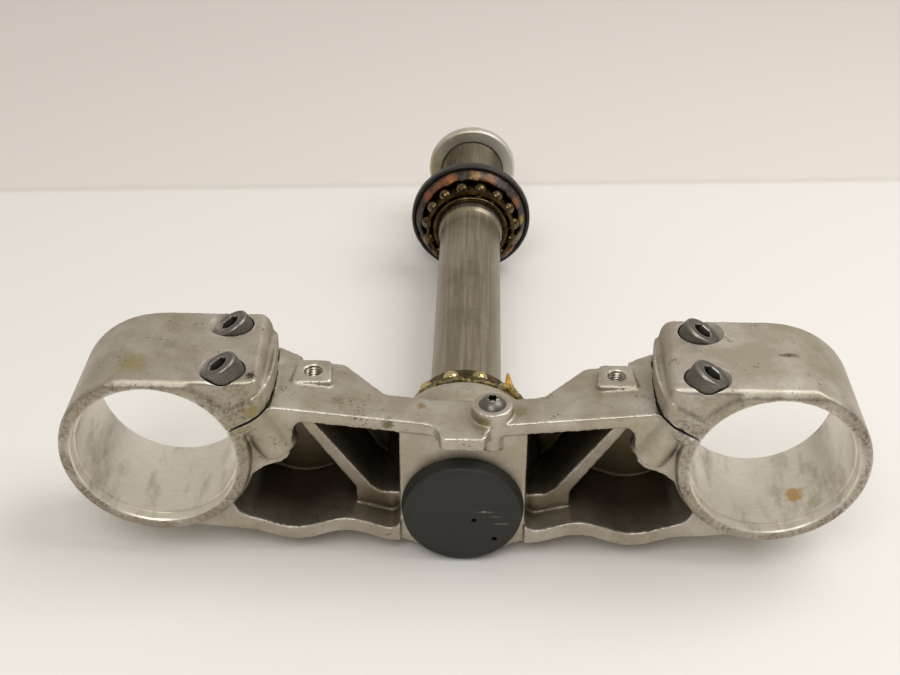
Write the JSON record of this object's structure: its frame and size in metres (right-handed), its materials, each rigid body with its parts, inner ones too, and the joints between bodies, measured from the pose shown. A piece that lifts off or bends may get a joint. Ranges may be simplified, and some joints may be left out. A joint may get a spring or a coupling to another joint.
{
  "type": "motorcycle lower triple clamp",
  "caption": "Cast fork yoke with split clamps for two fork tubes and a pressed-in steering stem with bearings and nut.",
  "frame": {"origin": "on the steering axis, level with the lower faces of the fork clamps", "axes": "+X from fork to fork, +Y up the steering stem, +Z to the front of the motorcycle"},
  "size_m": [0.2756, 0.2766, 0.0882],
  "materials": {
    "cast_aluminium": "shot-blasted sand casting with machined bores",
    "stem_steel": "drawn and ground steel tube",
    "zinc_steel": "zinc plated, dulled",
    "bearing_steel": "ground and polished, greased",
    "cage_steel": "pressed sheet under old grease",
    "black_rubber": "moulded, matte",
    "nut_aluminium": "turned and anodised"
  },
  "bodies": {
    "root": {"lower_yoke": "cast_aluminium", "steering_stem": "stem_steel", "hub_plug": "black_rubber", "guide_screw": "zinc_steel", "lower_dust_seal": "black_rubber", "upper_dust_cover": "black_rubber", "lower_inner_race": "bearing_steel", "upper_inner_race": "bearing_steel", "lower_balls": "bearing_steel", "upper_balls": "bearing_steel", "lower_ball_cage": "cage_steel", "upper_ball_cage": "cage_steel", "stem_nut": "nut_aluminium", "pinch_bolt_left_lower": "zinc_steel", "pinch_bolt_left_upper": "zinc_steel", "pinch_bolt_right_lower": "zinc_steel", "pinch_bolt_right_upper": "zinc_steel"}
  },
  "joints": []
}
